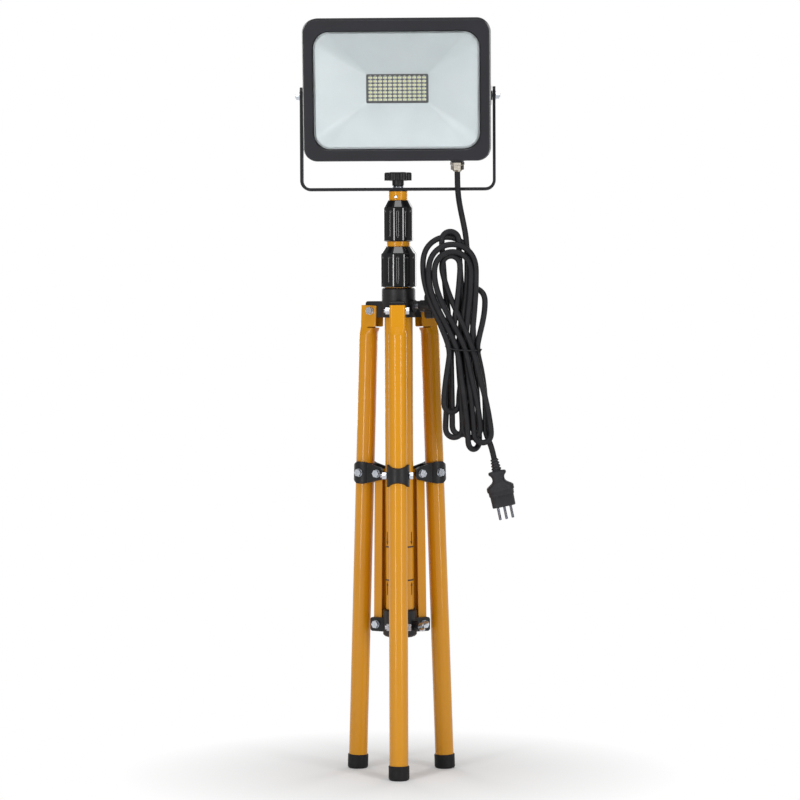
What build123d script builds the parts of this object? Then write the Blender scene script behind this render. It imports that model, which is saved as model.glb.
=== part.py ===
from build123d import *
import os
from math import cos, hypot, pi, radians, sin, tan

os.makedirs("parts", exist_ok=True)

# A work light on a folding telescopic tripod, stored folded, with its mains lead tied in a hank.
# Frame: millimetres, +Z up, origin on the floor under the mast, the lamp faces -Y.

# ---------------------------------------------------------------- driving dimensions

RUNNING = 0.05  # radial clearance of a pin that turns in its hole
GAP = 0.3  # clearance between faces that move past each other
BEARING = 0.1  # clearance under a washer

# mast: three telescoping tubes
TUBE_WALL = 1.5
MAST_R = 21.0
MAST_BOTTOM = 208.0
MAST_TOP = 730.0
MIDDLE_R = 17.5
MIDDLE_BOTTOM = 255.0
MIDDLE_TOP = 798.4
INNER_R = 14.0
INNER_BOTTOM = 330.0
INNER_TOP = 873.0
BUSH_FLANGE = 4.0
BUSH_SPIGOT = 15.0
BUSH_WALL = 2.0
END_PLUG_FLANGE = 3.0

# twist sleeves that grip the middle and the inner tube
LOWER_SLEEVE = {"bottom": 730.6, "top": 791.0, "radius": 26.8, "neck": 19.4}
UPPER_SLEEVE = {"bottom": 799.0, "top": 860.0, "radius": 22.0, "neck": 15.9}
SLEEVE_CONE = 10.0
SLEEVE_SHOULDER = 26.0  # cavity ends this far below the top
FLUTE_COUNT = 12
FLUTE_R = 4.6
FLUTE_DEPTH = 0.9
FLUTE_MARGIN = 8.0
COLLET_WALL = 3.2
COLLET_HEIGHT = 28.0
COLLET_SKIRT = 30.0
COLLET_SLIT = 1.4
COLLET_CONE = 10.0
COLLET_FINGER = 1.8

# hub at the top of the mast, with one lug for each leg
HUB_R = 25.2
HUB_BOTTOM = 685.0
HUB_TOP = 729.0
HUB_CHAMFER = 2.0
LUG_TOP = 709.4
LEG_AZIMUTH = {"front": -90, "right": 30, "left": 150}
KNOB_AZIMUTH = -30
HINGE_R = 43.0
HINGE_Z = 695.0
LUG_ROOT_R = 30.2
LUG_ROOT_WIDTH = 24.0
LUG_END_R = 52.4
LUG_CORNER = 4.0
TONGUE_WIDTH = 19.4
KNOB_Z = 702.0
KNOB_BOSS_R = 9.0
KNOB_BOSS_END = 29.0
KNOB_START = 38.0
KNOB_DISC_START = 53.0
M6_R = 3.0
M6_FLAT = 10.0
M6_HEAD = 4.2
M6_NUT = 5.2
WASHER_R = 6.0
WASHER = 1.2
BOLT_END = 2.4  # thread that shows past the nut

# legs: round tubes whose tops are opened into channels that straddle the lugs
LEG_R = 14.0
LEG_LEAN = radians(2.0)
LEG_OFFSET = 9.2  # leg axis outside the hinge axis
CHANNEL_OUT = 17.5
CHANNEL_IN = 10.5
CHANNEL_WIDTH = 23.0
CHANNEL_TOP = 8.0
CHEEK_BOTTOM = 24.0
ROUND_START = 36.0
SLIT = 1.6
SLIT_REACH = 4.5
CHANNEL_CORNER = 3.5
TUBE_REAR = LEG_R - LEG_OFFSET
CHEEK_TOP_R = 2.5
CHEEK_FOOT_R = 4.0
FOOT_R = 15.5
FOOT_HEIGHT = 21.5
FOOT_SOLE = 6.0
FOOT_EDGE = 3.5
FOOT_LIP = 0.8
FOOT_DROP = (HINGE_Z + LEG_OFFSET * sin(LEG_LEAN)) / cos(LEG_LEAN)  # hinge to floor along the leg

# spreader: a brace from a clamp on each leg to a collar that slides on the mast
CLAMP_PIN_R = 32.0
CLAMP_PIN_Z = 450.0
CLAMP_R = 17.0
CLAMP_HALF_HEIGHT = 16.5
CLAMP_WAIST = 9.6
CLAMP_TOP = (-6.0, 5.0)  # the flat top's inner and outer ends, from the leg's axis
CLAMP_FILLET = 1.2
EAR_R = 10.5
EAR_SLOT = 10.6
EAR_HALF_WIDTH = 12.3
EAR_CORNER = 4.0
OPEN_SLOT = 1.0  # side clearance of the two braces whose collar pivots are opened
OPEN_HOLE = 1.3  # and of their pins
COLLAR_PIN_R = 34.5
COLLAR_PIN_Z = 222.5
BRACE_WIDTH = 15.0
BRACE_WEB = 7.0  # outer face of the web, outside the pins
BRACE_EYE_R = 6.5
BRACE_SHEET = 1.5
BRACE_LENGTH = hypot(COLLAR_PIN_R - CLAMP_PIN_R, CLAMP_PIN_Z - COLLAR_PIN_Z)
BEAD_WIDTH = 6.0
BEAD_HEIGHT = 1.2
BEAD_TAPER = 35
COLLAR_R = 25.4
COLLAR_BORE = 22.0
COLLAR_BOTTOM = 206.0
COLLAR_TOP = 247.0
COLLAR_CHAMFER = 2.5
BOSS_R = 7.3
BOSS_END = 33.0
WING_START = 35.0
WING_HUB_R = 5.0
WING_HUB = 7.0
WING_SPAN = 10.0
WING_TURN = radians(35)
WING_SHEET = 2.6
WING_FLARE = 4.0  # the wings widen from here
WING_DEPTH = 12.0
WING_CORNER = 2.5

# bail: a bent steel strap with the lamp between its arms
PIVOT_Z = 1016.0
INSERT_DEPTH = 32.0
INSERT_SCREW_AZIMUTH = -101
INSERT_SCREW_Z = 865.0
INSERT_SCREW_R = 1.6
INSERT_SCREW_HEAD_R = 2.6
INSERT_SCREW_HEAD = 1.4
INSERT_SCREW_CROSS = (3.2, 0.7)
BAIL_SHEET = 4.4
BAIL_INSIDE = 141.8
BAIL_HALF_WIDTH = 9.0
BAIL_BOTTOM = 874.4
BAIL_BEND = 15.6
BAIL_TOP = 1029.5
M8_R = 4.0
CUP_R = 9.0
CUP_HEIGHT = 2.5
CUP_BEVEL = 1.2
KNOB_R = 20.5
KNOB_LOBES = 6
KNOB_LOBE_R = 6.3
KNOB_VALLEY = 4.5
KNOB_VALLEY_FILLET = 2.5
KNOB_EDGE = 2.0
KNOB_CHAMFER = 1.5
KNOB_DISC = 12.0
KNOB_NECK = 8.4
KNOB_NECK_R = 8.85

# lamp head, tilted forward; depths are measured forward from the pivot axis
HEAD_TILT = radians(8)
HEAD_RISE = 11.9  # centre of the face above the pivot
FACE = 56.0
BEZEL_BACK = 42.0
HOUSING_BACK = -4.0
FACE_SIZE = (274.6, 206.8, 19.0)  # width, height, corner radius
FLANGE_SIZE = (279.0, 211.2, 21.0)
WINDOW_SIZE = (247.6, 175.0, 25.0)
GLASS_SIZE = (262.0, 190.0, 22.0)
POCKET_SIZE = (270.0, 202.0, 17.0)
SEAL_SIZE = (245.2, 172.6, 23.8)
REFLECTOR_MOUTH = (239.6, 167.0, 21.0)
REFLECTOR_THROAT = (93.0, 43.4, 2.5)
BEZEL_LIP = 4.0
BEZEL_EDGE = 1.8
WINDOW_CHAMFER = 1.2
SEAL = 0.6
GLASS = 3.0
REFLECTOR_SHEET = 0.9
HOUSING_WALL = 3.0
HOUSING_TAPER = 2
HOUSING_EDGE = 3.0
BOARD_SEAT = (120.0, 66.0)
BOARD_FACE = 12.3
THROAT_GAP = 0.3  # between the board and the reflector
BOARD = 1.5
BOARD_SIZE = (112.0, 60.0)
LED_COUNT = (12, 7)
LED_PITCH = (7.28, 5.45)
LED_SIZE = (5.7, 3.0, 0.9)
FIN_COUNT = 23
FIN_PITCH = 10.6
FIN_SHEET = 2.2
FIN_DEPTH = 10.0
FIN_HEIGHT = 176.0
FIN_CLEAR = 4.0
COVER_SIZE = (124.0, 72.0, 8.0)
COVER_DEPTH = 12.0
COVER_DROP = -38.0
COVER_SCREW_R = 1.6
COVER_SCREW_PITCH = (112.0, 60.0)
COVER_SCREW_HEAD = 2.0
COVER_HOLLOW = (100.0, 67.0, 4.0)
COVER_SHEET = 3.0
COVER_EDGE = 2.5
DRIVER_SIZE = (118.0, 30.0, 2.0)
DRIVER_DEPTH = 22.0
DRIVER_DROP = 72.0
PAD_R = 14.0
PAD_FACE = 140.0
DISC_R = 7.0
DISC = 1.6
AXLE_END = 1.5
GLAND_X = 89.0
GLAND_DEPTH = 34.0
GLAND_BASE = 92.0
GLAND_THREAD_R = 7.6
GLAND_BOSS = 4.4
GLAND_FLARE = 2.6
GLAND_FLAT = 18.4
GLAND_HEX = 4.2
GLAND_DOME = 9.4
GLAND_CHAMFER = 0.6
GLAND_LIP = 1.8
GLAND_STEP = 1.4  # the nut is this much narrower than the body
GLAND_CONE = 2.6

# mains lead, its hank and its plug
CORD_R = 4.3
HANK_Y = -50.0
HANK_THICKNESS = 28.0
HANK_EDGE = 6.0
LEAD_STUB = 18.0
LEAD_ROUTE = [(90.2, -19.0, 866.0), (93.2, -26.5, 847.0), (98.2, -37.0, 824.0), (102.0, -45.0, 803.0)]
TAIL_ROUTE = [(129.0, -50.0, 516.0), (134.5, -50.0, 503.0)]
TAIL_END = 14.0
HANK_OUTLINE = [
    (78, 820), (56, 814), (39, 793), (33, 766), (43, 738), (64, 702), (71, 668), (71, 637), (63, 600),
    (60, 550), (74, 505), (100, 483), (126, 485), (144, 508), (146, 540), (138, 586), (123, 637),
    (134, 668), (140, 690), (133, 722), (117, 760), (110, 792), (98, 812),
]
TIE_Z = 638.0
TIE_X = 97.0
TIE_WIDTH = 56.0
TIE_HEIGHT = 8.0
TIE_SHEET = 1.5
PLUG_TOP = (142.5, HANK_Y, 475.0)
PLUG_LEAN = radians(11.7)
# each stretch of the plug: where it starts, its first section with its length, its last section
PLUG_SECTIONS = [
    (0, (10.0, 10.0, 4.9, 18.0), (15.5, 15.5, 7.6)),
    (18, (26.0, 20.0, 7.0, 4.5), (27.0, 22.0, 8.0)),
    (22.5, (26.0, 22.0, 8.0, 4.5), (19.0, 18.0, 7.0)),
    (27, (18.5, 17.5, 6.5, 8.0), (20.0, 18.0, 7.0)),
    (35, (30.0, 22.0, 8.0, 7.0), (40.8, 27.0, 10.0)),
    (42, (40.8, 27.0, 10.0, 12.5), (38.0, 25.0, 10.0)),
    (54.5, (35.6, 22.0, 9.0, 17.5), (34.6, 21.0, 8.0)),
]
PLUG_LENGTH = 72.0
EARTH_OFFSET = 3.0
PIN_R = 2.0
PIN_LENGTH = 19.0
PIN_PITCH = 9.5
PIN_CHAMFER = 0.7

UP = Vector(0, 0, 1)


# ---------------------------------------------------------------- planes and shared shapes


def outward(azimuth):
    return Vector(cos(radians(azimuth)), sin(radians(azimuth)), 0)


def radial_plane(azimuth):
    """Upright plane through the mast axis: sketch x is the radius, sketch y the height."""
    return Plane(origin=(0, 0, 0), x_dir=outward(azimuth), z_dir=outward(azimuth).cross(UP))


def spoke_plane(azimuth, radius, height):
    """Plane that faces outward, at that radius and height: sketch y is up."""
    out = outward(azimuth)
    return Plane(origin=out * radius + UP * height, x_dir=UP.cross(out), z_dir=out)


def leg_frame(azimuth):
    """Frame of one leg: origin on its hinge axis, x outward, z up along the leg."""
    out = outward(azimuth)
    across = out * cos(LEG_LEAN) + UP * sin(LEG_LEAN)
    along = UP * cos(LEG_LEAN) - out * sin(LEG_LEAN)
    return Plane(origin=out * HINGE_R + UP * HINGE_Z, x_dir=across, z_dir=along)


def brace_frame(azimuth):
    """Frame of one brace: origin on its upper pin, x outward, z up along the brace."""
    out = outward(azimuth)
    top = out * CLAMP_PIN_R + UP * CLAMP_PIN_Z
    foot = out * COLLAR_PIN_R + UP * COLLAR_PIN_Z
    along = (top - foot).normalized()
    return Plane(origin=top, x_dir=out.cross(UP).cross(along) * -1, z_dir=along)


def side_plane(frame):
    """Side view of a leg or brace frame: sketch x outward, sketch y along it."""
    return Plane(origin=frame.origin, x_dir=frame.x_dir, z_dir=frame.y_dir * -1)


def head_plane(depth):
    """Plane parallel to the lamp's face, that far in front of the pivot axis."""
    facing = Vector(0, -cos(HEAD_TILT), -sin(HEAD_TILT))
    return Plane(origin=UP * PIVOT_Z + facing * depth, x_dir=(1, 0, 0), z_dir=facing)


def gland_plane(drop):
    """Plane across the cable gland, that far below the pivot in the head's own frame."""
    base = head_plane(GLAND_DEPTH)
    return Plane(
        origin=base.from_local_coords((GLAND_X, -drop, 0)),
        x_dir=(1, 0, 0),
        z_dir=base.y_dir * -1,
    )


def rounded_face(size):
    """Rounded rectangle about the centre of the lamp's face."""
    with Locations((0, HEAD_RISE)):
        return RectangleRounded(size[0], size[1], size[2])


def write(piece, name):
    piece.part.label = name
    export_step(piece.part, f"parts/{name}.step")


def upright_tube(radius, bottom, top):
    with BuildPart() as tube:
        with BuildSketch(Plane.XY.offset(bottom)):
            Circle(radius)
            Circle(radius - TUBE_WALL, mode=Mode.SUBTRACT)
        extrude(amount=top - bottom)
    return tube


def turned(outline):
    """Solid of revolution about the mast axis, from points (radius, height)."""
    with BuildPart() as piece:
        with BuildSketch(Plane.XZ):
            with BuildLine():
                Polyline(*outline, close=True)
            make_face()
        revolve(axis=Axis.Z)
    return piece


def hex_prism(plane, flat, height):
    with BuildSketch(plane) as profile:
        RegularPolygon(flat / 2, 6, major_radius=False)
    extrude(profile.sketch, amount=height)


def disc(plane, radius, height, mode=Mode.ADD):
    with BuildSketch(plane) as profile:
        Circle(radius)
    extrude(profile.sketch, amount=height, mode=mode)


def ring(plane, radius, bore, height):
    with BuildSketch(plane) as profile:
        Circle(radius)
        Circle(bore, mode=Mode.SUBTRACT)
    extrude(profile.sketch, amount=height)


def through_bolt(plane, reach_head, reach_nut):
    """M6 bolt along the plane's normal: its head at -reach_head, washers and nut at +reach_nut."""
    bearing = WASHER + BEARING
    shank = reach_head + reach_nut + 2 * bearing + M6_NUT + BOLT_END
    disc(plane.offset(-reach_head - bearing), M6_R, shank)
    hex_prism(plane.offset(-reach_head - bearing - M6_HEAD), M6_FLAT, M6_HEAD)
    ring(plane.offset(-reach_head - bearing), WASHER_R, M6_R, WASHER)
    ring(plane.offset(reach_nut + BEARING), WASHER_R, M6_R, WASHER)
    with BuildSketch(plane.offset(reach_nut + bearing)) as nut:
        RegularPolygon(M6_FLAT / 2, 6, major_radius=False)
        Circle(M6_R, mode=Mode.SUBTRACT)
    extrude(nut.sketch, amount=M6_NUT)


def star_knob(plane, neck):
    """Six-lobed hand knob: a chamfered neck, then the lobed disc, along the plane's normal."""
    with BuildPart() as knob:
        disc(plane, KNOB_NECK_R, neck)
        chamfer(knob.edges().group_by(Axis(plane.origin, plane.z_dir))[0], KNOB_CHAMFER)
        with BuildSketch(plane.offset(neck)) as lobes:
            Circle(KNOB_R - KNOB_VALLEY)
            with PolarLocations(KNOB_R - KNOB_LOBE_R, KNOB_LOBES):
                Circle(KNOB_LOBE_R)
            fillet(lobes.vertices(), KNOB_VALLEY_FILLET)
        extrude(amount=KNOB_DISC)
        ends = knob.faces().sort_by(Axis(plane.origin, plane.z_dir))
        fillet(ends[-1].edges(), KNOB_EDGE)
        disc(plane, M8_R, neck + KNOB_DISC / 2, Mode.SUBTRACT)
    return knob


# ---------------------------------------------------------------- mast, collets and sleeves

mast_bore = MAST_R - TUBE_WALL
middle_bore = MIDDLE_R - TUBE_WALL
inner_bore = INNER_R - TUBE_WALL

write(upright_tube(MAST_R, MAST_BOTTOM, MAST_TOP), "mast_tube")
write(upright_tube(MIDDLE_R, MIDDLE_BOTTOM, MIDDLE_TOP), "middle_tube")

with BuildPart() as inner_tube:
    with BuildSketch(Plane.XY.offset(INNER_BOTTOM)):
        Circle(INNER_R)
        Circle(inner_bore, mode=Mode.SUBTRACT)
    extrude(amount=INNER_TOP - INNER_BOTTOM)
    screw_hole = spoke_plane(INSERT_SCREW_AZIMUTH, inner_bore - 1, INSERT_SCREW_Z)
    disc(screw_hole, INSERT_SCREW_R, 4, Mode.SUBTRACT)
write(inner_tube, "inner_tube")

end_plug = turned([
    (0, MAST_BOTTOM - END_PLUG_FLANGE),
    (MAST_R - 1, MAST_BOTTOM - END_PLUG_FLANGE),
    (MAST_R, MAST_BOTTOM - END_PLUG_FLANGE + 1),
    (MAST_R, MAST_BOTTOM),
    (mast_bore, MAST_BOTTOM),
    (mast_bore, MAST_BOTTOM + BUSH_SPIGOT),
    (0, MAST_BOTTOM + BUSH_SPIGOT),
])
write(end_plug, "mast_end_plug")


def foot_bush(radius, bore, bottom):
    """Guide ring on the foot of a sliding tube: a flange under the tube, a spigot inside it."""
    return turned([
        (bore - BUSH_WALL, bottom - BUSH_FLANGE),
        (radius, bottom - BUSH_FLANGE),
        (radius, bottom),
        (bore, bottom),
        (bore, bottom + BUSH_SPIGOT),
        (bore - BUSH_WALL, bottom + BUSH_SPIGOT),
    ])


write(foot_bush(mast_bore - GAP, middle_bore, MIDDLE_BOTTOM), "middle_bush")
write(foot_bush(middle_bore - GAP, inner_bore, INNER_BOTTOM), "inner_bush")


def collet(tube_top, tube_bore, slider_r):
    """Threaded collar on a tube's mouth, slit at its top, that closes on the tube inside it."""
    thread_r = tube_bore + COLLET_WALL - GAP
    finger_r = slider_r + COLLET_FINGER
    top = tube_top + COLLET_HEIGHT
    with BuildPart() as piece:
        with BuildSketch(Plane.XZ):
            with BuildLine():
                Polyline(
                    (slider_r + GAP, tube_top - COLLET_SKIRT),
                    (tube_bore, tube_top - COLLET_SKIRT),
                    (tube_bore, tube_top),
                    (thread_r, tube_top),
                    (thread_r, top - COLLET_CONE),
                    (finger_r, top),
                    (slider_r + GAP, top),
                    close=True,
                )
            make_face()
        revolve(axis=Axis.Z)
        with BuildSketch(Plane.XY.offset(top - COLLET_HEIGHT / 2)):
            Rectangle(2 * thread_r + 1, COLLET_SLIT)
            Rectangle(COLLET_SLIT, 2 * thread_r + 1)
        extrude(amount=COLLET_HEIGHT, mode=Mode.SUBTRACT)
    return piece


write(collet(MAST_TOP, mast_bore, MIDDLE_R), "lower_collet")
write(collet(MIDDLE_TOP, middle_bore, INNER_R), "upper_collet")


def twist_sleeve(size, slider_r, cavity_r):
    """Fluted screw sleeve: a coned top that rides on the inner tube, and a threaded cavity."""
    bottom, top, radius, neck = size["bottom"], size["top"], size["radius"], size["neck"]
    cone_base = top - SLEEVE_CONE
    shoulder = top - SLEEVE_SHOULDER
    with BuildPart() as sleeve:
        with BuildSketch(Plane.XZ):
            with BuildLine():
                Polyline(
                    (cavity_r, bottom),
                    (radius - 1, bottom),
                    (radius, bottom + 1),
                    (radius, cone_base - 2),
                    (radius - 0.6, cone_base),
                    (neck + 0.4, top - 0.6),
                    (neck - 0.6, top),
                    (slider_r + GAP, top),
                    (slider_r + GAP, shoulder + 8),
                    (cavity_r, shoulder),
                    close=True,
                )
            make_face()
        revolve(axis=Axis.Z)
        flute_low = bottom + FLUTE_MARGIN
        flute_high = cone_base - FLUTE_MARGIN
        flute_axis_r = radius + FLUTE_R - FLUTE_DEPTH
        with BuildSketch(Plane.XY.offset(flute_low)):
            with PolarLocations(flute_axis_r, FLUTE_COUNT):
                Circle(FLUTE_R)
        extrude(amount=flute_high - flute_low, mode=Mode.SUBTRACT)
        for height in (flute_low, flute_high):
            with Locations((0, 0, height)):
                with PolarLocations(flute_axis_r, FLUTE_COUNT):
                    Sphere(FLUTE_R, mode=Mode.SUBTRACT)
    return sleeve


write(twist_sleeve(LOWER_SLEEVE, MIDDLE_R, mast_bore + COLLET_WALL), "lower_sleeve")
write(twist_sleeve(UPPER_SLEEVE, INNER_R, middle_bore + COLLET_WALL), "upper_sleeve")

# ---------------------------------------------------------------- hub and its knob

with BuildPart() as hub:
    with BuildSketch(Plane.XY.offset(HUB_BOTTOM)):
        Circle(HUB_R)
    extrude(amount=HUB_TOP - HUB_BOTTOM)
    chamfer(hub.edges().group_by(Axis.Z)[-1], HUB_CHAMFER)
    for azimuth in LEG_AZIMUTH.values():
        for reach, width in ((LUG_ROOT_R, LUG_ROOT_WIDTH), (LUG_END_R, TONGUE_WIDTH)):
            with BuildSketch(radial_plane(azimuth)):
                with Locations((reach / 2, (HUB_BOTTOM + LUG_TOP) / 2)):
                    RectangleRounded(reach, LUG_TOP - HUB_BOTTOM, LUG_CORNER)
            extrude(amount=width / 2, both=True)
    disc(spoke_plane(KNOB_AZIMUTH, HUB_R / 2, KNOB_Z), KNOB_BOSS_R, KNOB_BOSS_END - HUB_R / 2)
    disc(Plane.XY.offset(HUB_BOTTOM - 1), MAST_R, HUB_TOP - HUB_BOTTOM + 2, Mode.SUBTRACT)
    disc(spoke_plane(KNOB_AZIMUTH, MAST_R - 2, KNOB_Z), M8_R + RUNNING, HUB_R, Mode.SUBTRACT)
    for azimuth in LEG_AZIMUTH.values():
        with BuildSketch(radial_plane(azimuth)):
            with Locations((HINGE_R, HINGE_Z)):
                Circle(M6_R)
        extrude(amount=HUB_R, both=True, mode=Mode.SUBTRACT)
write(hub, "hub")

with BuildPart() as leg_hinge_bolts:
    for azimuth in LEG_AZIMUTH.values():
        hinge = radial_plane(azimuth)
        across = Plane(
            origin=hinge.from_local_coords((HINGE_R, HINGE_Z, 0)),
            x_dir=hinge.x_dir,
            z_dir=hinge.z_dir,
        )
        through_bolt(across, CHANNEL_WIDTH / 2, CHANNEL_WIDTH / 2)
write(leg_hinge_bolts, "leg_hinge_bolts")

write(star_knob(spoke_plane(KNOB_AZIMUTH, KNOB_START, KNOB_Z), KNOB_DISC_START - KNOB_START), "hub_knob")

with BuildPart() as hub_knob_screw:
    disc(
        spoke_plane(KNOB_AZIMUTH, MAST_R + GAP, KNOB_Z),
        M8_R,
        KNOB_DISC_START + KNOB_DISC / 2 - MAST_R - GAP,
    )
write(hub_knob_screw, "hub_knob_screw")

# ---------------------------------------------------------------- legs


def make_leg_tube(frame):
    """Leg tube: round below, its top slit, flattened and opened inward into a channel."""
    tube_end = FOOT_DROP - FOOT_SOLE
    web_centre = (CHANNEL_OUT - TUBE_REAR) / 2
    web_depth = CHANNEL_OUT + TUBE_REAR
    with BuildPart() as tube:
        for sheet, mode in ((0, Mode.ADD), (TUBE_WALL, Mode.SUBTRACT)):
            with BuildSketch(frame.offset(-tube_end)):
                with Locations((LEG_OFFSET, 0)):
                    Circle(LEG_R - sheet)
            extrude(amount=tube_end - ROUND_START, mode=mode)
            with BuildSketch(frame.offset(-ROUND_START)):
                with Locations((LEG_OFFSET, 0)):
                    Circle(LEG_R - sheet)
            with BuildSketch(frame.offset(-CHEEK_BOTTOM)):
                with Locations((web_centre, 0)):
                    RectangleRounded(
                        web_depth - 2 * sheet, CHANNEL_WIDTH - 2 * sheet, CHANNEL_CORNER - sheet
                    )
            loft(mode=mode)
            if mode == Mode.ADD:
                channel_depth = CHANNEL_OUT + CHANNEL_IN
            else:
                channel_depth = CHANNEL_OUT + 2 * CHANNEL_IN
            with BuildSketch(frame.offset(-CHEEK_BOTTOM)):
                with Locations((CHANNEL_OUT - sheet - channel_depth / 2, 0)):
                    RectangleRounded(
                        channel_depth, CHANNEL_WIDTH - 2 * sheet, CHANNEL_CORNER - sheet
                    )
            extrude(amount=CHEEK_BOTTOM + CHANNEL_TOP + sheet, mode=mode)
        # the slit that lets the cheeks open, then the rounded inner corners of the cheeks
        with BuildSketch(side_plane(frame)):
            with Locations((SLIT_REACH - CHANNEL_OUT, -CHEEK_BOTTOM - SLIT / 2)):
                Rectangle(2 * CHANNEL_OUT, SLIT)
        extrude(amount=CHANNEL_WIDTH, both=True, mode=Mode.SUBTRACT)
        for corner, height in ((CHEEK_TOP_R, CHANNEL_TOP), (-CHEEK_FOOT_R, -CHEEK_BOTTOM)):
            size = abs(corner)
            centre = (size - CHANNEL_IN, height - corner)
            with BuildSketch(side_plane(frame)):
                with Locations((centre[0] - size / 2, centre[1] + corner / 2)):
                    Rectangle(size + SLIT, size)
                with Locations(centre):
                    Circle(size, mode=Mode.SUBTRACT)
            extrude(amount=CHANNEL_WIDTH, both=True, mode=Mode.SUBTRACT)
        for pin, radius in (((0, 0), M6_R + RUNNING), ((LEG_OFFSET, clamp_pin.Z), M6_R)):
            with BuildSketch(side_plane(frame)):
                with Locations(pin):
                    Circle(radius)
            extrude(amount=CHANNEL_WIDTH, both=True, mode=Mode.SUBTRACT)
    return tube


def make_foot(frame):
    """Rubber cap on the leg's end, with a flat sole on the floor and a rounded edge."""
    with BuildPart() as foot:
        with BuildSketch(frame.offset(FOOT_HEIGHT - FOOT_DROP)):
            with Locations((LEG_OFFSET, 0)):
                Circle(FOOT_R)
        extrude(amount=-(FOOT_HEIGHT + FOOT_SOLE))
        split(bisect_by=Plane.XY, keep=Keep.TOP)
        fillet(foot.faces().sort_by(Axis.Z)[0].edges(), FOOT_EDGE)
        chamfer(foot.faces().sort_by(Axis.Z)[-1].edges(), FOOT_LIP)
        with BuildSketch(frame.offset(FOOT_SOLE - FOOT_DROP)):
            with Locations((LEG_OFFSET, 0)):
                Circle(LEG_R)
        extrude(amount=FOOT_HEIGHT, mode=Mode.SUBTRACT)
    return foot


def make_clamp(frame):
    """Moulded saddle round the leg, with two ears that hold the brace between them."""
    ear_x, pin_z = clamp_pin.X, clamp_pin.Z
    front_x = LEG_OFFSET + CLAMP_R
    with BuildPart() as clamp:
        with BuildSketch(side_plane(frame)):
            with BuildLine():
                Polyline(
                    (front_x, pin_z - CLAMP_WAIST),
                    (front_x, pin_z + CLAMP_WAIST),
                    (LEG_OFFSET + CLAMP_TOP[1], pin_z + CLAMP_HALF_HEIGHT),
                    (LEG_OFFSET + CLAMP_TOP[0], pin_z + CLAMP_HALF_HEIGHT),
                    (ear_x, pin_z + EAR_R),
                    (ear_x, pin_z - EAR_R),
                    (LEG_OFFSET + CLAMP_TOP[0], pin_z - CLAMP_HALF_HEIGHT),
                    (LEG_OFFSET + CLAMP_TOP[1], pin_z - CLAMP_HALF_HEIGHT),
                    close=True,
                )
            make_face()
            with Locations((ear_x, pin_z)):
                Circle(EAR_R)
        extrude(amount=CLAMP_R, both=True)
        plan_start = frame.offset(pin_z - CLAMP_R)
        with BuildSketch(plan_start):
            with Locations((LEG_OFFSET, 0)):
                Circle(CLAMP_R)
            with Locations(((ear_x - EAR_R + LEG_OFFSET) / 2, 0)):
                Rectangle(LEG_OFFSET - ear_x + EAR_R, 2 * EAR_HALF_WIDTH)
        extrude(amount=2 * CLAMP_R, mode=Mode.INTERSECT)
        fillet(clamp.edges().filter_by(GeomType.LINE).filter_by(
            lambda edge: edge.length > CLAMP_WAIST
            and abs(edge.tangent_at(0.5).dot(frame.z_dir)) > 0.9), CLAMP_FILLET)
        with BuildSketch(plan_start):
            with Locations((LEG_OFFSET, 0)):
                Circle(LEG_R)
            with Locations((ear_x, 0)):
                Rectangle(2 * EAR_SLOT, BRACE_WIDTH + 2 * GAP)
        extrude(amount=2 * CLAMP_R, mode=Mode.SUBTRACT)
        with BuildSketch(side_plane(frame)):
            with Locations((LEG_OFFSET, pin_z), (ear_x, pin_z)):
                Circle(M6_R)
        extrude(amount=2 * CLAMP_R, both=True, mode=Mode.SUBTRACT)
    return clamp


def make_clamp_bolts(frame, nut_side):
    """The bolt through the leg and the bolt through the ears and the brace."""
    side = side_plane(frame)
    facing = side.z_dir * nut_side
    with BuildPart() as bolts:
        for across, half_width in ((LEG_OFFSET, CLAMP_R), (clamp_pin.X, EAR_HALF_WIDTH)):
            centre = side.from_local_coords((across, clamp_pin.Z, 0))
            bolt_plane = Plane(origin=centre, x_dir=side.x_dir, z_dir=facing)
            through_bolt(bolt_plane, half_width, half_width)
    return bolts


def make_brace(frame, pin_clearance):
    """Pressed steel channel, open toward the mast, with an eye at each end and a bead."""
    side = side_plane(frame)
    with BuildPart() as brace:
        with BuildSketch(side):
            with Locations((0, 0), (0, -BRACE_LENGTH)):
                Circle(BRACE_EYE_R)
            with Locations(((BRACE_WEB - BRACE_EYE_R) / 2, -BRACE_LENGTH / 2)):
                Rectangle(BRACE_WEB + BRACE_EYE_R, BRACE_LENGTH)
        extrude(amount=BRACE_WIDTH / 2, both=True)
        with BuildSketch(side):
            with Locations((BRACE_WEB / 2 - BRACE_SHEET - BRACE_EYE_R, -BRACE_LENGTH / 2)):
                Rectangle(BRACE_WEB + 2 * BRACE_EYE_R, BRACE_LENGTH + 4 * BRACE_EYE_R)
        extrude(amount=BRACE_WIDTH / 2 - BRACE_SHEET, both=True, mode=Mode.SUBTRACT)
        bead_plane = Plane(
            origin=frame.from_local_coords((BRACE_WEB, 0, -BRACE_LENGTH / 2)),
            x_dir=frame.z_dir,
            z_dir=frame.x_dir,
        )
        with BuildSketch(bead_plane):
            SlotOverall(BRACE_LENGTH - 4 * BRACE_EYE_R, BEAD_WIDTH)
        extrude(amount=BEAD_HEIGHT, taper=BEAD_TAPER)
        with BuildSketch(side):
            Circle(M6_R + RUNNING)
            with Locations((0, -BRACE_LENGTH)):
                Circle(M6_R + pin_clearance)
        extrude(amount=BRACE_WIDTH, both=True, mode=Mode.SUBTRACT)
    return brace


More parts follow.
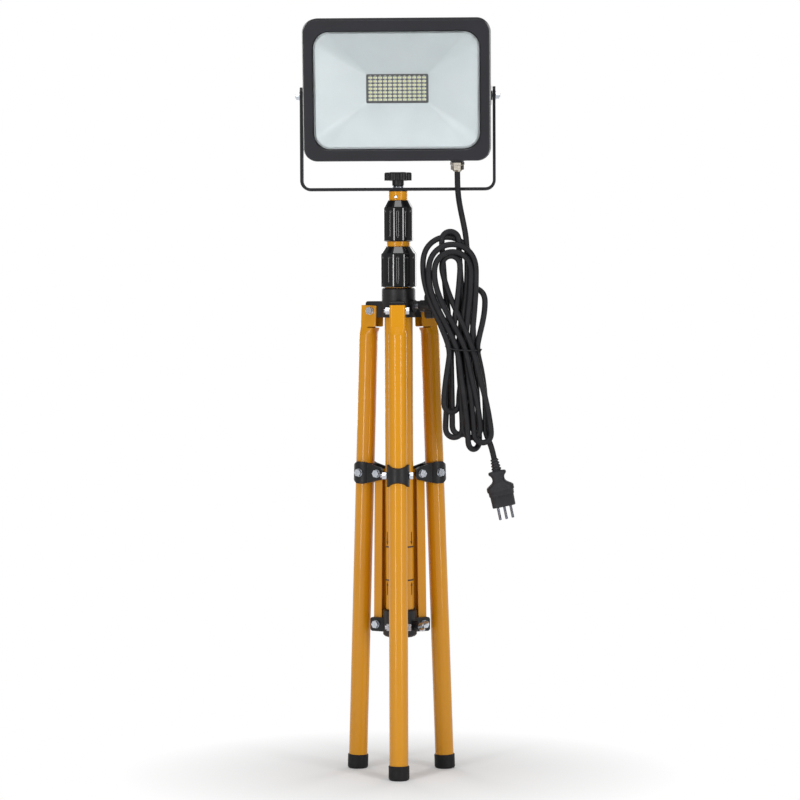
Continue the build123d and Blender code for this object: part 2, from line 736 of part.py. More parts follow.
for side_name, azimuth in LEG_AZIMUTH.items():
    leg = leg_frame(azimuth)
    clamp_pin = leg.to_local_coords(outward(azimuth) * CLAMP_PIN_R + UP * CLAMP_PIN_Z)
    nut_side = -1 if side_name == "right" else 1
    write(make_leg_tube(leg), f"leg_tube_{side_name}")
    write(make_foot(leg), f"leg_foot_{side_name}")
    write(make_clamp(leg), f"leg_clamp_{side_name}")
    write(make_clamp_bolts(leg, nut_side), f"clamp_bolts_{side_name}")
    pin_clearance = RUNNING if side_name == "front" else OPEN_HOLE
    write(make_brace(brace_frame(azimuth), pin_clearance), f"brace_{side_name}")

# ---------------------------------------------------------------- sliding collar and its wing screw

with BuildPart() as collar:
    with BuildSketch(Plane.XY.offset(COLLAR_BOTTOM)):
        Circle(COLLAR_R)
    extrude(amount=COLLAR_TOP - COLLAR_BOTTOM)
    chamfer(collar.edges().group_by(Axis.Z)[0] + collar.edges().group_by(Axis.Z)[-1], COLLAR_CHAMFER)
    for azimuth in LEG_AZIMUTH.values():
        with BuildSketch(radial_plane(azimuth)):
            ear_root = COLLAR_BORE - EAR_CORNER
            ear_end = COLLAR_PIN_R + EAR_R
            with Locations(((ear_root + ear_end) / 2, COLLAR_PIN_Z)):
                RectangleRounded(ear_end - ear_root, 2 * EAR_R, EAR_CORNER)
        extrude(amount=EAR_HALF_WIDTH, both=True)
    disc(spoke_plane(KNOB_AZIMUTH, COLLAR_BORE, COLLAR_PIN_Z), BOSS_R, BOSS_END - COLLAR_BORE)
    for side_name, azimuth in LEG_AZIMUTH.items():
        slot_gap = GAP if side_name == "front" else OPEN_SLOT
        slot_middle = (COLLAR_R + GAP + COLLAR_PIN_R + 2 * EAR_R) / 2
        with BuildSketch(radial_plane(azimuth)):
            with Locations((slot_middle, COLLAR_PIN_Z)):
                Rectangle(COLLAR_PIN_R + 2 * EAR_R - COLLAR_R - GAP, 3 * EAR_R)
        extrude(amount=BRACE_WIDTH / 2 + slot_gap, both=True, mode=Mode.SUBTRACT)
        with BuildSketch(radial_plane(azimuth)):
            with Locations((COLLAR_PIN_R, COLLAR_PIN_Z)):
                Circle(M6_R)
        extrude(amount=2 * EAR_HALF_WIDTH, both=True, mode=Mode.SUBTRACT)
    disc(Plane.XY.offset(COLLAR_BOTTOM - 1), COLLAR_BORE, COLLAR_TOP, Mode.SUBTRACT)
    disc(
        spoke_plane(KNOB_AZIMUTH, COLLAR_BORE - 2, COLLAR_PIN_Z), M6_R + RUNNING, 2 * BOSS_R, Mode.SUBTRACT
    )
write(collar, "spreader_collar")

with BuildPart() as collar_bolts:
    for azimuth in LEG_AZIMUTH.values():
        hinge = radial_plane(azimuth)
        across = Plane(
            origin=hinge.from_local_coords((COLLAR_PIN_R, COLLAR_PIN_Z, 0)),
            x_dir=hinge.x_dir,
            z_dir=hinge.z_dir,
        )
        through_bolt(across, EAR_HALF_WIDTH, EAR_HALF_WIDTH)
write(collar_bolts, "collar_bolts")

with BuildPart() as wing_screw:
    disc(spoke_plane(KNOB_AZIMUTH, COLLAR_BORE + GAP, COLLAR_PIN_Z), M6_R, WING_START - COLLAR_BORE)
    disc(spoke_plane(KNOB_AZIMUTH, WING_START, COLLAR_PIN_Z), WING_HUB_R, WING_HUB)
    wing_face = spoke_plane(KNOB_AZIMUTH, WING_START, COLLAR_PIN_Z)
    wing_side = wing_face.x_dir * cos(WING_TURN) + UP * sin(WING_TURN)
    wing_plane = Plane(origin=wing_face.origin, x_dir=wing_face.z_dir, z_dir=wing_face.z_dir.cross(wing_side))
    with BuildSketch(wing_plane):
        for turn in (1, -1):
            with BuildLine():
                Polyline(
                    (1, 0),
                    (1, turn * WING_HUB_R),
                    (WING_FLARE, turn * WING_SPAN),
                    (WING_DEPTH, turn * WING_SPAN),
                    (WING_DEPTH, turn * (WING_SPAN - WING_FLARE)),
                    (WING_HUB, 0),
                    close=True,
                )
            make_face()
    extrude(amount=WING_SHEET / 2, both=True)
    tips = wing_screw.edges().filter_by(
        lambda edge: abs(edge.length - WING_SHEET) < 0.01
        and abs((edge.center() - wing_face.origin).dot(wing_side)) > WING_SPAN - 0.1
    )
    fillet(tips, WING_CORNER)
write(wing_screw, "wing_screw")

# ---------------------------------------------------------------- mast head: insert, bail and top knob

top_insert = turned([
    (M8_R, INNER_TOP - INSERT_DEPTH),
    (inner_bore, INNER_TOP - INSERT_DEPTH),
    (inner_bore, INNER_TOP),
    (INNER_R, INNER_TOP),
    (INNER_R, BAIL_BOTTOM),
    (M8_R, BAIL_BOTTOM),
])
write(top_insert, "top_insert")

with BuildPart() as insert_screw:
    head = spoke_plane(INSERT_SCREW_AZIMUTH, INNER_R, INSERT_SCREW_Z)
    disc(head.offset(-TUBE_WALL), INSERT_SCREW_R, TUBE_WALL)
    disc(head, INSERT_SCREW_HEAD_R, INSERT_SCREW_HEAD)
    chamfer(insert_screw.edges().group_by(Axis(head.origin, head.z_dir))[-1], INSERT_SCREW_HEAD / 2)
    with BuildSketch(head.offset(INSERT_SCREW_HEAD / 2)):
        Rectangle(*INSERT_SCREW_CROSS)
        Rectangle(*reversed(INSERT_SCREW_CROSS))
    extrude(amount=INSERT_SCREW_HEAD, mode=Mode.SUBTRACT)
write(insert_screw, "insert_screw")

bail_outside = BAIL_INSIDE + BAIL_SHEET
with BuildPart() as bail:
    with BuildSketch(Plane.XZ) as strap:
        with BuildLine():
            outer = FilletPolyline(
                (-bail_outside, BAIL_TOP),
                (-bail_outside, BAIL_BOTTOM),
                (bail_outside, BAIL_BOTTOM),
                (bail_outside, BAIL_TOP),
                radius=BAIL_BEND,
            )
            inner = FilletPolyline(
                (-BAIL_INSIDE, BAIL_TOP),
                (-BAIL_INSIDE, BAIL_BOTTOM + BAIL_SHEET),
                (BAIL_INSIDE, BAIL_BOTTOM + BAIL_SHEET),
                (BAIL_INSIDE, BAIL_TOP),
                radius=BAIL_BEND - BAIL_SHEET,
            )
            Line(outer @ 0, inner @ 0)
            Line(outer @ 1, inner @ 1)
        make_face()
    extrude(amount=BAIL_HALF_WIDTH, both=True)
    arm_corners = bail.edges().filter_by(Axis.X).group_by(Axis.Z)[-1]
    fillet(arm_corners, BAIL_HALF_WIDTH - 0.2)
    with BuildSketch(Plane.YZ):
        with Locations((0, PIVOT_Z)):
            Circle(M6_R + RUNNING)
    extrude(amount=2 * BAIL_INSIDE, both=True, mode=Mode.SUBTRACT)
    disc(Plane.XY.offset(BAIL_BOTTOM - 1), M8_R + RUNNING, BAIL_SHEET + 2, Mode.SUBTRACT)
write(bail, "bail")

cup_top = BAIL_BOTTOM + BAIL_SHEET + CUP_HEIGHT
cup_washer = turned([
    (M8_R + RUNNING, BAIL_BOTTOM + BAIL_SHEET),
    (CUP_R, BAIL_BOTTOM + BAIL_SHEET),
    (CUP_R - 0.3, cup_top - CUP_BEVEL),
    (CUP_R - 1.5, cup_top),
    (M8_R + RUNNING, cup_top),
])
write(cup_washer, "cup_washer")

write(star_knob(Plane.XY.offset(cup_top + RUNNING), KNOB_NECK), "top_knob")

with BuildPart() as top_knob_bolt:
    bolt_bottom = BAIL_BOTTOM - INSERT_DEPTH + M8_R
    bolt_top = cup_top + RUNNING + KNOB_NECK + KNOB_DISC / 2
    disc(Plane.XY.offset(bolt_bottom), M8_R - RUNNING, bolt_top - bolt_bottom)
write(top_knob_bolt, "top_knob_bolt")

# ---------------------------------------------------------------- lamp head


def frame_ring(outer, inner, depth, thickness):
    """Flat rounded-rectangle ring, built backward from that depth."""
    with BuildPart() as piece:
        with BuildSketch(head_plane(depth)):
            rounded_face(outer)
            with Locations((0, HEAD_RISE)):
                RectangleRounded(inner[0], inner[1], inner[2], mode=Mode.SUBTRACT)
        extrude(amount=-thickness)
    return piece


with BuildPart() as front_bezel:
    with BuildSketch(head_plane(BEZEL_BACK)):
        rounded_face(FLANGE_SIZE)
    with BuildSketch(head_plane(FACE)):
        rounded_face(FACE_SIZE)
    loft()
    face_edges = front_bezel.faces().sort_by(Axis(head_plane(0).origin, head_plane(0).z_dir))[-1].edges()
    fillet(face_edges, BEZEL_EDGE)
    with BuildSketch(head_plane(BEZEL_BACK)):
        rounded_face(WINDOW_SIZE)
    extrude(amount=FACE, mode=Mode.SUBTRACT)
    with BuildSketch(head_plane(BEZEL_BACK)):
        rounded_face(POCKET_SIZE)
    extrude(amount=FACE - BEZEL_LIP - BEZEL_BACK, mode=Mode.SUBTRACT)
    mouth = front_bezel.faces().sort_by(Axis(head_plane(0).origin, head_plane(0).z_dir))[-1]
    chamfer(mouth.inner_wires()[0].edges(), WINDOW_CHAMFER)
write(front_bezel, "front_bezel")

seal_depth = FACE - BEZEL_LIP
glass_depth = seal_depth - SEAL
reflector_depth = glass_depth - GLASS
write(frame_ring(GLASS_SIZE, SEAL_SIZE, seal_depth, SEAL), "glass_seal")

with BuildPart() as front_glass:
    with BuildSketch(head_plane(glass_depth)):
        rounded_face(GLASS_SIZE)
    extrude(amount=-GLASS)
write(front_glass, "front_glass")


def grown(size, sheet):
    return (size[0] + 2 * sheet, size[1] + 2 * sheet, size[2] + sheet)


with BuildPart() as reflector:
    throat_depth = BOARD_FACE + THROAT_GAP
    with BuildSketch(head_plane(throat_depth)):
        rounded_face(grown(REFLECTOR_THROAT, REFLECTOR_SHEET))
    with BuildSketch(head_plane(reflector_depth)):
        rounded_face(grown(REFLECTOR_MOUTH, REFLECTOR_SHEET))
    loft()
    with BuildSketch(head_plane(reflector_depth)):
        rounded_face(GLASS_SIZE)
    extrude(amount=-REFLECTOR_SHEET)
    with BuildSketch(head_plane(throat_depth)):
        rounded_face(REFLECTOR_THROAT)
    with BuildSketch(head_plane(reflector_depth)):
        rounded_face(REFLECTOR_MOUTH)
    loft(mode=Mode.SUBTRACT)
write(reflector, "reflector")

with BuildPart() as led_board:
    with BuildSketch(head_plane(BOARD_FACE)):
        with Locations((0, HEAD_RISE)):
            Rectangle(*BOARD_SIZE)
    extrude(amount=-BOARD)
write(led_board, "led_board")

with BuildPart() as led_chips:
    with BuildSketch(head_plane(BOARD_FACE)):
        with Locations((0, HEAD_RISE)):
            with GridLocations(*LED_PITCH, *LED_COUNT):
                Rectangle(LED_SIZE[0], LED_SIZE[1])
    extrude(amount=LED_SIZE[2])
write(led_chips, "led_chips")

pad_start = FLANGE_SIZE[0] / 2 - 2 * HOUSING_WALL
with BuildPart() as rear_housing:
    with BuildSketch(head_plane(BEZEL_BACK)):
        rounded_face(FLANGE_SIZE)
    extrude(amount=HOUSING_BACK - BEZEL_BACK, taper=HOUSING_TAPER)
    back = rear_housing.faces().sort_by(Axis(head_plane(0).origin, head_plane(0).z_dir))[0]
    fillet(back.edges(), HOUSING_EDGE)
    for hand in (1, -1):
        pad_plane = Plane(origin=(hand * pad_start, 0, PIVOT_Z), x_dir=(0, hand, 0), z_dir=(hand, 0, 0))
        disc(pad_plane, PAD_R, PAD_FACE - pad_start)
    boss_start = gland_plane(GLAND_BASE)
    with BuildSketch(boss_start):
        Circle(GLAND_FLAT / 2 + GLAND_FLARE)
    with BuildSketch(boss_start.offset(GLAND_BOSS)):
        Circle(GLAND_FLAT / 2)
    loft()
    with BuildSketch(head_plane(BEZEL_BACK)):
        Rectangle(2 * FLANGE_SIZE[0], 2 * FLANGE_SIZE[0])
    extrude(amount=GLAND_FLAT, mode=Mode.SUBTRACT)
    with BuildSketch(head_plane(BEZEL_BACK)):
        rounded_face(POCKET_SIZE)
    extrude(amount=HOUSING_BACK + HOUSING_WALL - BEZEL_BACK, mode=Mode.SUBTRACT)
    with BuildSketch(head_plane(HOUSING_BACK + HOUSING_WALL)):
        with Locations((0, HEAD_RISE)):
            Rectangle(*BOARD_SEAT)
    extrude(amount=BOARD_FACE - BOARD - HOUSING_BACK - HOUSING_WALL)
    with BuildSketch(head_plane(HOUSING_BACK)):
        with Locations((0, HEAD_RISE)):
            with GridLocations(FIN_PITCH, 0, FIN_COUNT, 1):
                Rectangle(FIN_SHEET, FIN_HEIGHT)
    extrude(amount=-FIN_DEPTH)
    with BuildSketch(head_plane(HOUSING_BACK)):
        with Locations((0, COVER_DROP)):
            Rectangle(COVER_SIZE[0] + FIN_CLEAR, COVER_SIZE[1] + FIN_CLEAR)
    extrude(amount=-2 * FIN_DEPTH, mode=Mode.SUBTRACT)
    for hand in (1, -1):
        pad_plane = Plane(origin=(hand * pad_start, 0, PIVOT_Z), x_dir=(0, hand, 0), z_dir=(hand, 0, 0))
        disc(pad_plane.offset(-2 * HOUSING_WALL), M6_R, PAD_R + PAD_FACE, Mode.SUBTRACT)
    disc(gland_plane(GLAND_BASE - 2 * HOUSING_WALL), GLAND_THREAD_R, 4 * HOUSING_WALL, Mode.SUBTRACT)
    with BuildSketch(head_plane(HOUSING_BACK)):
        with Locations((0, COVER_DROP)):
            with GridLocations(*COVER_SCREW_PITCH, 2, 2):
                Circle(COVER_SCREW_R)
    extrude(amount=HOUSING_WALL, mode=Mode.SUBTRACT)
write(rear_housing, "rear_housing")

with BuildPart() as rear_cover:
    with BuildSketch(head_plane(HOUSING_BACK)):
        with Locations((0, COVER_DROP)):
            RectangleRounded(*COVER_SIZE)
    extrude(amount=-COVER_DEPTH)
    back = rear_cover.faces().sort_by(Axis(head_plane(0).origin, head_plane(0).z_dir))[0]
    fillet(back.edges(), COVER_EDGE)
    with BuildSketch(head_plane(HOUSING_BACK)):
        with Locations((0, COVER_DROP)):
            RectangleRounded(*COVER_HOLLOW)
    extrude(amount=COVER_SHEET - COVER_DEPTH, mode=Mode.SUBTRACT)
    with BuildSketch(head_plane(HOUSING_BACK)):
        with Locations((0, COVER_DROP)):
            with GridLocations(*COVER_SCREW_PITCH, 2, 2):
                Circle(COVER_SCREW_R)
    extrude(amount=-2 * COVER_DEPTH, mode=Mode.SUBTRACT)
write(rear_cover, "rear_cover")

with BuildPart() as cover_screws:
    for across in (1, -1):
        for along in (1, -1):
            spot = (across * COVER_SCREW_PITCH[0] / 2, COVER_DROP + along * COVER_SCREW_PITCH[1] / 2)
            with BuildSketch(head_plane(HOUSING_BACK - COVER_DEPTH)):
                with Locations(spot):
                    Circle(COVER_SCREW_R)
            extrude(amount=COVER_DEPTH + HOUSING_WALL)
            with BuildSketch(head_plane(HOUSING_BACK - COVER_DEPTH)):
                with Locations(spot):
                    Circle(COVER_SCREW_R * 2)
            extrude(amount=-COVER_SCREW_HEAD)
write(cover_screws, "cover_screws")

with BuildPart() as led_driver:
    with BuildSketch(head_plane(HOUSING_BACK + HOUSING_WALL)):
        with Locations((0, HEAD_RISE - DRIVER_DROP)):
            RectangleRounded(*DRIVER_SIZE)
    extrude(amount=DRIVER_DEPTH)
write(led_driver, "led_driver")

with BuildPart() as bail_bolts:
    for hand in (1, -1):
        axle = Plane(origin=(hand * pad_start, 0, PIVOT_Z), x_dir=(0, hand, 0), z_dir=(hand, 0, 0))
        washer_start = bail_outside + BEARING - pad_start
        disc(axle.offset(-HOUSING_WALL), M6_R, washer_start + HOUSING_WALL + WASHER)
        ring(axle.offset(washer_start), WASHER_R, M6_R, WASHER)
        hex_prism(axle.offset(washer_start + WASHER), M6_FLAT, M6_HEAD)
        disc(axle.offset(washer_start + WASHER + M6_HEAD), M6_R, AXLE_END)
write(bail_bolts, "bail_bolts")

with BuildPart() as friction_discs:
    for hand in (1, -1):
        ring(
            Plane(origin=(hand * PAD_FACE, 0, PIVOT_Z), x_dir=(0, hand, 0), z_dir=(hand, 0, 0)),
            DISC_R,
            M6_R,
            DISC,
        )
write(friction_discs, "friction_discs")

gland_face = gland_plane(GLAND_BASE + GLAND_BOSS)
with BuildPart() as gland_body:
    disc(gland_face.offset(-2 * HOUSING_WALL), GLAND_THREAD_R, 2 * HOUSING_WALL)
    hex_prism(gland_face, GLAND_FLAT, GLAND_HEX)
    chamfer(gland_body.edges().group_by(Axis(gland_face.origin, gland_face.z_dir))[-1], GLAND_CHAMFER)
write(gland_body, "gland_body")

with BuildPart() as gland_nut:
    cone_base = GLAND_HEX + GLAND_DOME - GLAND_CONE
    hex_prism(gland_face.offset(GLAND_HEX), GLAND_FLAT - GLAND_STEP, GLAND_DOME - GLAND_CONE)
    with BuildSketch(gland_face.offset(cone_base)):
        Circle((GLAND_FLAT - GLAND_STEP) / 2 - 0.2)
    with BuildSketch(gland_face.offset(GLAND_HEX + GLAND_DOME)):
        Circle(CORD_R + GLAND_LIP)
    loft()
write(gland_nut, "gland_nut")

# ---------------------------------------------------------------- mains lead

gland_exit = gland_face.offset(GLAND_HEX + GLAND_DOME)


def cord_tube(points, name):
    """Tube along straight runs joined by arcs. Prints the radii and compares the volume."""
    corners = [Vector(*point) for point in points]
    radii = []
    for before, corner, after in zip(corners, corners[1:], corners[2:]):
        run_in = corner - before
        run_out = after - corner
        half_turn = radians(run_in.get_angle(run_out)) / 2
        radii.append(0.45 * min(run_in.length, run_out.length) / tan(half_turn))
    with BuildPart() as tube:
        with BuildLine() as route:
            FilletPolyline(*corners, radius=radii)
        start = route.wire()
        with BuildSketch(Plane(origin=start @ 0, z_dir=start % 0)):
            Circle(CORD_R)
        sweep()
    section = pi * CORD_R**2
    print(name, "radii", [round(radius, 1) for radius in radii])
    print(name, "volume over section times length", round(tube.part.volume / section / start.length, 4))
    return tube


lead_points = [tuple(gland_exit.origin), tuple(gland_exit.offset(LEAD_STUB).origin)] + LEAD_ROUTE
write(cord_tube(lead_points, "cord_lead"), "cord_lead")

# the plug's axis leans outward toward the pins; its sketches lie across that axis
plug_down = Vector(sin(PLUG_LEAN), 0, -cos(PLUG_LEAN))
plug_plane = Plane(origin=PLUG_TOP, x_dir=(cos(PLUG_LEAN), 0, sin(PLUG_LEAN)), z_dir=plug_down)
tail_points = TAIL_ROUTE + [tuple(plug_plane.offset(-TAIL_END).origin), PLUG_TOP]
write(cord_tube(tail_points, "cord_tail"), "cord_tail")

with BuildPart() as cord_hank:
    with BuildSketch(Plane.XZ.offset(-HANK_Y)):
        with BuildLine():
            Spline(*HANK_OUTLINE, periodic=True)
        make_face()
    extrude(amount=HANK_THICKNESS / 2, both=True)
    fillet(cord_hank.faces().filter_by(Axis.Y).edges(), HANK_EDGE)
write(cord_hank, "cord_hank")

with BuildPart() as cord_tie:
    with BuildSketch(Plane.XY.offset(TIE_Z - TIE_HEIGHT / 2)):
        with Locations((TIE_X, HANK_Y)):
            RectangleRounded(TIE_WIDTH + 2 * TIE_SHEET, HANK_THICKNESS + 2 * TIE_SHEET, HANK_EDGE + TIE_SHEET)
            RectangleRounded(TIE_WIDTH, HANK_THICKNESS, HANK_EDGE, mode=Mode.SUBTRACT)
    extrude(amount=TIE_HEIGHT)
write(cord_tie, "cord_tie")

with BuildPart() as plug_body:
    for start, low, high in PLUG_SECTIONS:
        with BuildSketch(plug_plane.offset(start)):
            RectangleRounded(*low[:3])
        with BuildSketch(plug_plane.offset(start + low[3])):
            RectangleRounded(*high)
        loft()
write(plug_body, "plug_body")

with BuildPart() as plug_pins:
    with BuildSketch(plug_plane.offset(PLUG_LENGTH)):
        with Locations((-PIN_PITCH, 0), (PIN_PITCH, 0), (0, EARTH_OFFSET)):
            Circle(PIN_R)
    extrude(amount=PIN_LENGTH)
    chamfer(plug_pins.edges().group_by(Axis(plug_plane.origin, plug_down))[-1], PIN_CHAMFER)
write(plug_pins, "plug_pins")
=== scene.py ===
from math import cos, pi, radians, sin

import bmesh
import bpy
from mathutils import Matrix, Quaternion, Vector


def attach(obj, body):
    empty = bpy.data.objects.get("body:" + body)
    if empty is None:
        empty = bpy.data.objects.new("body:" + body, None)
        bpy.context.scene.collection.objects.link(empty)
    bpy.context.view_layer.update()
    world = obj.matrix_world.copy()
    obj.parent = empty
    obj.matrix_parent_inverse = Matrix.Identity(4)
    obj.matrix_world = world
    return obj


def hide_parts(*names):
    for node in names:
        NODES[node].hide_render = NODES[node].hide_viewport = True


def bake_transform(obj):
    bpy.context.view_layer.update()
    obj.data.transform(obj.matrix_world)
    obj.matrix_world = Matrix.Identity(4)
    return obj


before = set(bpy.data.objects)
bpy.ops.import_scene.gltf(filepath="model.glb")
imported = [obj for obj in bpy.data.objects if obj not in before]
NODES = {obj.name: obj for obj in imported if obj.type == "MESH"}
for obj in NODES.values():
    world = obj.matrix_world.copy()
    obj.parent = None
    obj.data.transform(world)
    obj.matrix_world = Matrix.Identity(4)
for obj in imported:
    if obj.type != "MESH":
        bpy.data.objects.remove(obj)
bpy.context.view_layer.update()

MM = 0.001
SIDES = ("front", "right", "left")


# ---------------------------------------------------------------- camera

CAMERA_AZIMUTH = radians(1.8)
CAMERA_DISTANCE = 4.4
CAMERA_HEIGHT = 0.73
CAMERA_ROLL = radians(-0.25)
LENS_MM = 132
AIM = Vector((0.0015, 0, 0.561))


def make_camera():
    data = bpy.data.cameras.new("camera")
    data.lens = LENS_MM
    data.clip_end = 100
    camera = bpy.data.objects.new("camera", data)
    bpy.context.scene.collection.objects.link(camera)
    along = (CAMERA_DISTANCE * sin(CAMERA_AZIMUTH), -CAMERA_DISTANCE * cos(CAMERA_AZIMUTH))
    camera.location = (*along, CAMERA_HEIGHT)
    camera.rotation_mode = "QUATERNION"
    level = (AIM - camera.location).to_track_quat("-Z", "Y")
    camera.rotation_quaternion = level @ Quaternion((0, 0, 1), CAMERA_ROLL)
    bpy.context.scene.camera = camera


make_camera()

# ---------------------------------------------------------------- mains lead, all one cord

CORD_DIAMETER = 0.0086
GLAND_EXIT = (89.0, -18.36, 902.34)
LEAD_ROUTE = [
    GLAND_EXIT, (89.0, -15.85, 884.5), (90.2, -19.0, 866.0), (93.2, -26.5, 847.0),
    (98.2, -37.0, 824.0), (102.0, -45.0, 803.0), (103.5, -50.5, 778.0), (103.5, -51.0, 740.0),
    (100.0, -50.5, 700.0), (93.0, -50.3, 664.0),
]
TAIL_ROUTE = [
    (124.5, -50.0, 606.0), (129.0, -50.0, 572.0), (130.0, -50.0, 540.0), (129.0, -50.0, 516.0),
    (134.5, -50.0, 503.0), (139.66, -50.0, 488.7), (142.5, -50.0, 475.0),
]

# the passes of the hank cross its tie side by side in three layers
TIE_Z = 638.0
FRONT = -59.0
MIDDLE = -50.3
BACK = -41.6

# each half turn of the hank, in the cord's order, alternately below and above the tie:
# where it leaves the tie and where it comes back (x, y), the middle of each side (x, y), its end's height
HALF_TURNS = [
    ((89, MIDDLE), (80, BACK), (95.5, -49), (70.5, -43), 507),
    ((80, BACK), (102, BACK), (66, -50), (91, -50), 812),
    ((102, BACK), (78, FRONT), (90.5, -46), (68.5, -59.5), 545),
    ((78, FRONT), (113, BACK), (38, -52), (109, -43), 804),
    ((113, BACK), (89, FRONT), (120.5, -41), (104, -59.7), 489.5),
    ((89, FRONT), (109, MIDDLE), (46.5, -58), (116.5, -56), 793),
    ((109, MIDDLE), (101, FRONT), (97, -50), (122, -54), 507),
    ((101, FRONT), (99, MIDDLE), (55, -59), (109, -59), 782),
    ((99, MIDDLE), (112, FRONT), (112.5, -56), (138, -59), 499.6),
    ((112, FRONT), (79, MIDDLE), (66, -50), (93, -58), 776),
    ((79, MIDDLE), (91, BACK), (80.5, -47), (105.5, -41.5), 511),
    ((91, BACK), (117, MIDDLE), (95, -43), (129.5, -46), 728),
]
# a fold's control points, as shares of its half width: its shoulders, its end, and where it is widest
ROUND_SHOULDER = 0.586
ROUND_TOP = 0.414
WIDEST = 1.7
# how far up a side each point is, and how much of the way from the tie to that side's line
LEG_SHARES = ((1 / 3, 0.34), (2 / 3, 0.74))


def half_turn(start, end, first, last, end_z):
    """Control points from the tie up one side of the hank, round its end and back to the tie."""
    middle = [(a + b) / 2 for a, b in zip(first, last)]
    across = [(b - a) / 2 for a, b in zip(first, last)]
    half_width = Vector(across).length
    away = 1 if end_z > TIE_Z else -1
    wide_z = end_z - away * WIDEST * half_width
    shoulder_z = end_z - away * ROUND_SHOULDER * half_width
    points = [(start[0], start[1], TIE_Z)]
    for slot, side, turn in ((start, first, 1), (end, last, -1)):
        leg = []
        for height, share in LEG_SHARES:
            x = slot[0] + (side[0] - slot[0]) * share
            y = slot[1] + (side[1] - slot[1]) * share
            leg.append((x, y, TIE_Z + (wide_z - TIE_Z) * height))
        leg.append((side[0], side[1], wide_z))
        leg.append((side[0], side[1], shoulder_z))
        x = middle[0] - turn * across[0] * ROUND_TOP
        y = middle[1] - turn * across[1] * ROUND_TOP
        leg.append((x, y, end_z))
        points += leg[::turn]
    return points


BEVEL_STEPS = 6


def curve_piece(name, points, radius, cyclic=False, smooth_steps=8):
    """Smooth round curve with those control points, in millimetres."""
    data = bpy.data.curves.new(name, "CURVE")
    data.dimensions = "3D"
    data.bevel_depth = radius
    data.bevel_resolution = BEVEL_STEPS
    data.use_fill_caps = True
    data.resolution_u = smooth_steps
    spline = data.splines.new("NURBS")
    spline.points.add(len(points) - 1)
    for target, point in zip(spline.points, points):
        target.co = (*(Vector(point) * MM), 1)
    spline.order_u = 3
    spline.use_cyclic_u = cyclic
    spline.use_endpoint_u = not cyclic
    piece = bpy.data.objects.new(name, data)
    bpy.context.scene.collection.objects.link(piece)
    return piece


def cord_points():
    """The whole cord's control points: its lead, its hank and its tail, in millimetres."""
    points = list(LEAD_ROUTE)
    for row in HALF_TURNS:
        points += half_turn(*row)
    last_slot = HALF_TURNS[-1][1]
    points.append((last_slot[0], last_slot[1], TIE_Z))
    return points + TAIL_ROUTE


def mesh_tube(name, points, radius):
    """Mesh of the tube round that smooth curve, and the points down its middle."""
    curve = curve_piece("route", points, radius)
    tube = bpy.data.objects.new(name, bpy.data.meshes.new_from_object(curve))
    bpy.context.scene.collection.objects.link(tube)
    curve.data.bevel_depth = 0
    middle = bpy.data.meshes.new_from_object(curve)
    path = [tuple(vertex.co) for vertex in middle.vertices]
    bpy.data.meshes.remove(middle)
    bpy.data.curves.remove(curve.data)
    return tube, path


mains_cord, cord_path = mesh_tube("mains_cord", cord_points(), CORD_DIAMETER / 2)

# ---------------------------------------------------------------- materials


class Surface:
    """Builds one node material round a Principled shader."""

    def __init__(self, name):
        self.material = bpy.data.materials.new(name)
        self.material.use_nodes = True
        self.tree = self.material.node_tree
        self.shader = self.tree.nodes["Principled BSDF"]
        self.place = self.tree.nodes.new("ShaderNodeTexCoord").outputs["Object"]

    def set(self, **values):
        for key, value in values.items():
            self.shader.inputs[key.replace("_", " ")].default_value = value
        return self

    def link(self, output, target):
        self.tree.links.new(output, target)

    def stretched(self, scale):
        node = self.tree.nodes.new("ShaderNodeMapping")
        node.inputs["Scale"].default_value = scale
        self.link(self.place, node.inputs["Vector"])
        return node.outputs["Vector"]

    def noise(self, scale, detail=4.0, stretch=None, roughness=0.55):
        node = self.tree.nodes.new("ShaderNodeTexNoise")
        node.inputs["Scale"].default_value = scale
        node.inputs["Detail"].default_value = detail
        node.inputs["Roughness"].default_value = roughness
        self.link(self.stretched(stretch) if stretch else self.place, node.inputs["Vector"])
        return node.outputs["Fac"]

    def spread(self, value, low, high, to_low, to_high):
        node = self.tree.nodes.new("ShaderNodeMapRange")
        for key, number in zip(("From Min", "From Max", "To Min", "To Max"), (low, high, to_low, to_high)):
            node.inputs[key].default_value = number
        self.link(value, node.inputs["Value"])
        return node.outputs["Result"]

    def mix(self, share, first, second):
        node = self.tree.nodes.new("ShaderNodeMix")
        node.data_type = "RGBA"
        self.link(share, node.inputs["Factor"])
        for colour, key in ((first, "A"), (second, "B")):
            socket = [s for s in node.inputs if s.name == key and s.type == "RGBA"][0]
            if isinstance(colour, tuple):
                socket.default_value = (*colour, 1)
            else:
                self.link(colour, socket)
        return [s for s in node.outputs if s.type == "RGBA"][0]

    def colour(self, output):
        self.link(output, self.shader.inputs["Base Color"])
        return self

    def rough(self, value, low, high):
        self.link(self.spread(value, 0.3, 0.7, low, high), self.shader.inputs["Roughness"])
        return self

    def bump(self, value, strength, distance):
        node = self.tree.nodes.new("ShaderNodeBump")
        node.inputs["Strength"].default_value = strength
        node.inputs["Distance"].default_value = distance
        self.link(value, node.inputs["Height"])
        self.link(node.outputs["Normal"], self.shader.inputs["Normal"])
        return self


def amber_paint():
    """Smooth glossy powder coat, very slightly deeper where it is thick."""
    paint = Surface("amber_paint")
    cloud = paint.spread(paint.noise(9, 3), 0.35, 0.65, 0, 1)
    paint.colour(paint.mix(cloud, (0.64, 0.270, 0.0070), (0.665, 0.284, 0.0080)))
    paint.rough(paint.noise(60, 2), 0.17, 0.22)
    paint.bump(paint.noise(420, 2), 0.025, 0.0003)
    return paint.set(Coat_Weight=0.1, Coat_Roughness=0.06, Specular_IOR_Level=0.3).material


